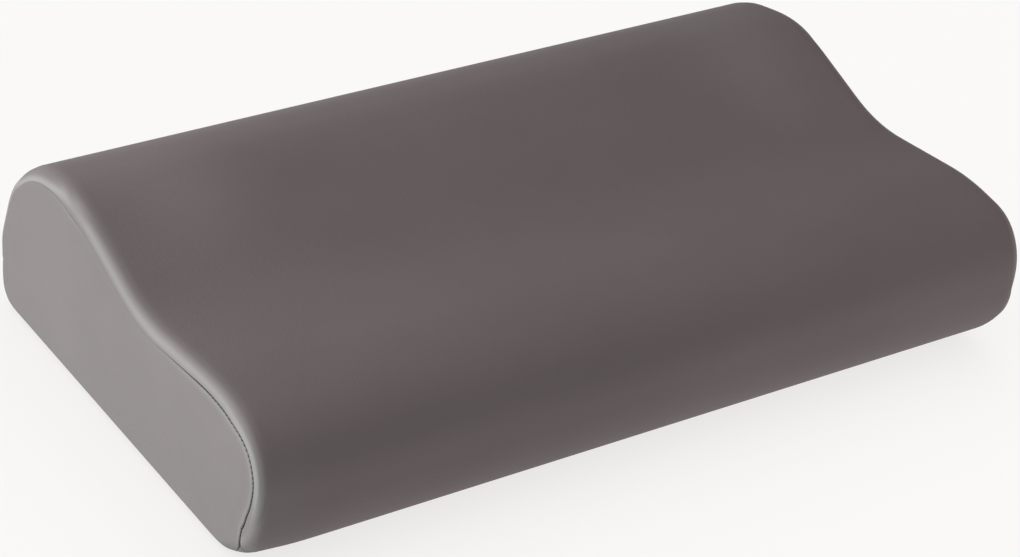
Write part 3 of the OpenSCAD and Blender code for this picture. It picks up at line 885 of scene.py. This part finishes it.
def zip_coil(name, node, side):
    """Half of the coil: a nylon monofilament wound round a cord, flattened against the tape."""
    low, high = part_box(node)
    turns = int((high.x - low.x) / COIL_PITCH)
    per_turn, sides = 14, 6
    t = np.arange(turns * per_turn + 1) / per_turn
    angle = 2 * math.pi * t
    middle = np.array([0, (low.y + high.y) / 2, (low.z + high.z) / 2])
    reach_y = (high.y - low.y) / 2 - COIL_WIRE
    reach_z = (high.z - low.z) / 2 - COIL_WIRE

    def rounded(value):
        return np.sign(value) * np.abs(value) ** 0.8

    path = np.zeros((len(t), 3))
    path[:, 0] = low.x + COIL_WIRE + t * (high.x - low.x - 2 * COIL_WIRE) / turns
    path[:, 1] = middle[1] + reach_y * rounded(np.cos(angle))
    path[:, 2] = middle[2] + side * reach_z * rounded(np.sin(angle))
    tangent = np.gradient(path, axis=0)
    tangent /= np.linalg.norm(tangent, axis=1)[:, None]
    across = np.cross(tangent, [1.0, 0, 0])
    across /= np.linalg.norm(across, axis=1)[:, None]
    other = np.cross(tangent, across)
    turn = np.arange(sides) * 2 * math.pi / sides
    ring = across[:, None] * np.cos(turn)[None, :, None] + other[:, None] * np.sin(turn)[None, :, None]
    wire = loft("wire", path[:, None] + COIL_WIRE * ring, coil_nylon)
    eighth = np.arange(8) * math.pi / 4
    cord_ring = middle + CORD_R * np.stack([np.zeros(8), np.cos(eighth), np.sin(eighth)], axis=1)
    ends = (low.x + CORD_R, high.x - CORD_R)
    cord = loft("cord", [[x, 0, 0] + cord_ring for x in ends], coil_nylon)
    return joined(name, [wire, cord])


def topstitching(name, node):
    low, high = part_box(node)
    x = np.linspace(low.x, high.x, 400)
    z = (low.z + high.z) / 2
    points = np.stack([x, np.full_like(x, BACK_Y - 0.0001), np.full_like(x, z)], axis=1)
    outward = np.tile([0.0, 1.0, 0.0], (len(x), 1))
    return stitches(name, points, outward, TOP_PITCH, TOP_THREAD_R, stitch_thread)


def bar_tacks(name):
    """Short stitches laid close together across each end of the slot."""
    starts, ends = [], []
    for side in (-1, 1):
        x = side * SLOT_END
        for z in np.arange(ZIP_Z - SLOT_HALF + 0.0003, ZIP_Z + SLOT_HALF, TACK_PITCH):
            starts.append([x - TACK_HALF, BACK_Y + 0.0002, z])
            ends.append([x + TACK_HALF, BACK_Y + 0.0002, z + 0.0002])
    outward = np.tile([0.0, 1.0, 0.0], (len(starts), 1))
    return thread_bits(name, starts, ends, outward, TOP_THREAD_R, stitch_thread, arch=1.1)


tape_upper = zip_tape("zip_tape_upper_woven", "zip_tape_upper", 1)
tape_lower = zip_tape("zip_tape_lower_woven", "zip_tape_lower", -1)
coil_upper = zip_coil("zip_coil_upper_wound", "zip_coil_upper", 1)
coil_lower = zip_coil("zip_coil_lower_wound", "zip_coil_lower", -1)
stitch_upper = topstitching("zip_topstitch_upper", "zip_stitching_upper")
stitch_lower = topstitching("zip_topstitch_lower", "zip_stitching_lower")
tacks = bar_tacks("zip_end_tacks")


def soften(node, width):
    """Give a CAD piece the broken edges of cast or stamped metal, and the metal itself."""
    obj = nodes[node]
    obj.modifiers.new("weld", "WELD").merge_threshold = 1e-6
    bevel = obj.modifiers.new("edges", "BEVEL")
    bevel.width = width
    bevel.segments = 3
    bevel.limit_method = "ANGLE"
    bevel.harden_normals = True
    obj.data.materials.clear()
    obj.data.materials.append(metal)


for node, width in (
    ("zip_slider_body", 0.00018),
    ("zip_pull_tab", 0.00022),
    ("zip_top_stops", 0.0003),
    ("zip_bottom_stop", 0.0003),
):
    soften(node, width)

# ---- Care label ----

LABEL_L, LABEL_W, RIBBON_T = 0.038, 0.028, 0.00018  # length once folded
LABEL_TILT = math.radians(21.3)  # square to the seam it's sewn into


def care_label():
    """A folded blank ribbon sewn into the seam, standing a little off the end panel."""
    low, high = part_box("care_label")
    down = -np.array([0, math.cos(LABEL_TILT), math.sin(LABEL_TILT)])
    across = np.array([0, -math.sin(LABEL_TILT), math.cos(LABEL_TILT)])
    middle = np.array([0, (low.y + high.y) / 2, (low.z + high.z) / 2])
    root = middle - LABEL_L / 2 * down
    t = np.concatenate([np.linspace(0, 1, 24), np.linspace(1, 0, 24)])
    layer = np.concatenate([np.zeros(24), np.ones(24)])
    lift = 0.0011 * t**2 + 0.0004 * t
    apart = mix(0.00035, 0.0009, ramp(t, 0, 0.5) * ramp(t, 1, 5 / 6))
    x = low.x + 0.0002 + lift + layer * apart
    w = np.linspace(-LABEL_W / 2, LABEL_W / 2, 15)
    bow = 0.0004 * (1 - (2 * w / LABEL_W) ** 2)
    points = root + (t * LABEL_L)[:, None, None] * down + w[None, :, None] * across
    points[..., 0] = x[:, None] + bow[None] * t[:, None]
    index = np.arange(points.shape[0] * points.shape[1]).reshape(points.shape[:2])
    label = make_object("care_label_ribbon", points, quads(index), label_satin)
    thick = label.modifiers.new("thick", "SOLIDIFY")
    thick.thickness = RIBBON_T
    thick.offset = 0
    return label


label = care_label()

# ---- Squeezed corner ----

SQUEEZE, SQUEEZE_REACH = 0.0038, 0.02  # how far in, and how far it reaches along the pillow
SQUEEZE_Z, SQUEEZE_HEIGHT = 0.038, 0.034
SQUEEZE_TOWARDS = (-0.1, 0.046)  # (y, z) inside the front lobe


def squeeze(obj):
    """The cover squeezes the foam in at the front of the left end, most of all at half its height."""
    count = len(obj.data.vertices)
    points = np.empty(count * 3)
    obj.data.vertices.foreach_get("co", points)
    points = points.reshape(count, 3)
    x, y, z = points.T
    amount = SQUEEZE * ramp(y, -0.1, -0.14) * bell(z - SQUEEZE_Z, SQUEEZE_HEIGHT)
    amount = amount * bell(x + HALF_L, SQUEEZE_REACH)
    inward = np.array(SQUEEZE_TOWARDS) - points[:, 1:]
    points[:, 1:] += amount[:, None] * inward / np.linalg.norm(inward, axis=1)[:, None]
    obj.data.vertices.foreach_set("co", points.ravel())
    obj.data.update()


for piece in (top, bottom, left_end, left_seam, front_seam, core, wrap, liner_left, liner_seam_left):
    squeeze(piece)

# ---- What each piece stands for ----

PIECES = (
    (top, "cover_top_panel", "cover_fabric"),
    (bottom, "cover_bottom_panel", "cover_fabric"),
    (left_end, "cover_left_end_panel", "cover_fabric"),
    (right_end, "cover_right_end_panel", "cover_fabric"),
    (left_seam, "left_end_seam_thread", "cover_thread"),
    (right_seam, "right_end_seam_thread", "cover_thread"),
    (front_seam, "front_seam_thread", "cover_thread"),
    (back_seam, "back_seam_thread", "cover_thread"),
    (core, "foam_core", "foam"),
    (wrap, "liner_wrap", "liner_jersey"),
    (liner_left, "liner_end_left", "liner_jersey"),
    (liner_right, "liner_end_right", "liner_jersey"),
    (liner_seam_left, "liner_thread_left", "liner_thread"),
    (liner_seam_right, "liner_thread_right", "liner_thread"),
    (tape_upper, "zip_tape_upper", "zip_tape"),
    (tape_lower, "zip_tape_lower", "zip_tape"),
    (coil_upper, "zip_coil_upper", "zip_coil"),
    (coil_lower, "zip_coil_lower", "zip_coil"),
    (stitch_upper, "zip_stitching_upper", "cover_thread"),
    (stitch_lower, "zip_stitching_lower", "cover_thread"),
    (tacks, "zip_bar_tacks", "cover_thread"),
    (label, "care_label", "label_satin"),
)
for piece, node, slot in PIECES:
    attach(piece, "root")
    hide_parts(node)


# ---- Camera ----

CAMERA_AT = (-0.84724, -1.21502, 0.94516)
YAW, PITCH, ROLL = 0.60951, 0.55158, 0.08001  # radians, from looking level along +Y
LENS = 105.46


def make_camera():
    ahead = Vector((math.sin(YAW) * math.cos(PITCH), math.cos(YAW) * math.cos(PITCH), -math.sin(PITCH)))
    level = Vector((math.cos(YAW), -math.sin(YAW), 0))
    upright = level.cross(ahead)
    right = level * math.cos(ROLL) + upright * math.sin(ROLL)
    up = upright * math.cos(ROLL) - level * math.sin(ROLL)
    camera = bpy.data.objects.new("camera", bpy.data.cameras.new("camera"))
    bpy.context.scene.collection.objects.link(camera)
    turn = Matrix((right, up, -ahead)).transposed()
    camera.matrix_world = Matrix.Translation(CAMERA_AT) @ turn.to_4x4()
    camera.data.sensor_width = 36
    camera.data.lens = LENS
    camera.data.clip_start = 0.05
    camera.data.clip_end = 50
    bpy.context.scene.camera = camera


make_camera()

# ---- Studio ----

FLOOR_R = 3.2  # the backdrop is flat this far out, then curves up into a low wall
WALL_H = 1.3
FLOOR_Z = -0.0002  # just clear of the pillow's underside
LIGHT_DISTANCE = 2.2


def backdrop():
    """A seamless pale backdrop: flat under the pillow, curving up into a low wall far from it."""
    m = Nodes("backdrop_paper")
    m.set(Base_Color=(0.2, 0.197, 0.194, 1), Roughness=0.9, Specular_IOR_Level=0.0)
    m.set(Emission_Color=(1, 0.992, 0.975, 1), Emission_Strength=0.77)
    bend = np.linspace(0, math.pi / 2, 9)
    radius = np.concatenate([[0.5, 1, 2], FLOOR_R + WALL_H * np.sin(bend)])
    height = np.concatenate([[0, 0, 0], WALL_H * (1 - np.cos(bend))])
    around = np.arange(64) * 2 * math.pi / 64
    rings = np.zeros((len(radius), len(around), 3))
    rings[..., 0] = radius[:, None] * np.cos(around)
    rings[..., 1] = radius[:, None] * np.sin(around)
    rings[..., 2] = height[:, None]
    index = np.arange(rings.shape[0] * rings.shape[1]).reshape(rings.shape[:2])
    index = np.concatenate([index, index[:, :1]], axis=1)
    faces = [index[0, -2::-1].tolist()] + quads(index, flipped=True)
    obj = make_object("backdrop", rings, faces, m.material)
    obj.location.z = FLOOR_Z
    return obj


def lit_only(name, objects):
    """A collection that a light can be limited to."""
    group = bpy.data.collections.new(name)
    for obj in objects:
        group.objects.link(obj)
    return group


def soft_light(azimuth, elevation, size, power, colour, group):
    """A square softbox aimed at the pillow. Azimuth 0 is in front of it and 90 on its +X side."""
    a, e = math.radians(azimuth), math.radians(elevation)
    place = LIGHT_DISTANCE * Vector((math.sin(a) * math.cos(e), -math.cos(a) * math.cos(e), math.sin(e)))
    data = bpy.data.lights.new("softbox", "AREA")
    data.shape = "SQUARE"
    data.size = size
    data.energy = power
    data.color = colour
    light = bpy.data.objects.new("softbox", data)
    light.location = place + Vector((0, 0, 0.05))
    light.rotation_mode = "QUATERNION"
    light.rotation_quaternion = (-place).to_track_quat("-Z", "Y")
    light.light_linking.receiver_collection = group
    bpy.context.scene.collection.objects.link(light)


def overhead(strength, group):
    """Wide soft light from straight above, which only the backdrop catches."""
    data = bpy.data.lights.new("overhead", "SUN")
    data.energy = strength
    data.angle = math.radians(110)
    light = bpy.data.objects.new("overhead", data)
    light.light_linking.receiver_collection = group
    bpy.context.scene.collection.objects.link(light)


pillow_group = lit_only("pillow_lit", [o for o in bpy.context.scene.objects if o.type == "MESH"])
backdrop_group = lit_only("backdrop_lit", [backdrop()])
COOL, WARM = (0.79, 1.0, 0.96), (1.0, 0.94, 0.95)
LIGHTS = (
    # azimuth, elevation, size, power, colour
    (-95, 5, 0.9, 58, COOL),
    (-75, 5, 0.9, 23, COOL),
    (-115, 45, 1.0, 49, WARM),
    (55, 5, 0.9, 28, WARM),
    (90, 45, 0.9, 5, WARM),
    (175, 5, 0.9, 11, WARM),
)
for azimuth, elevation, size, power, colour in LIGHTS:
    soft_light(azimuth, elevation, size, power, colour, pillow_group)
overhead(2.6, backdrop_group)

world = bpy.data.worlds.new("studio")
world.use_nodes = True
world.node_tree.nodes["Background"].inputs["Color"].default_value = (1, 0.995, 0.985, 1)
world.node_tree.nodes["Background"].inputs["Strength"].default_value = 0.04
bpy.context.scene.world = world
bpy.context.scene.view_settings.view_transform = "Standard"
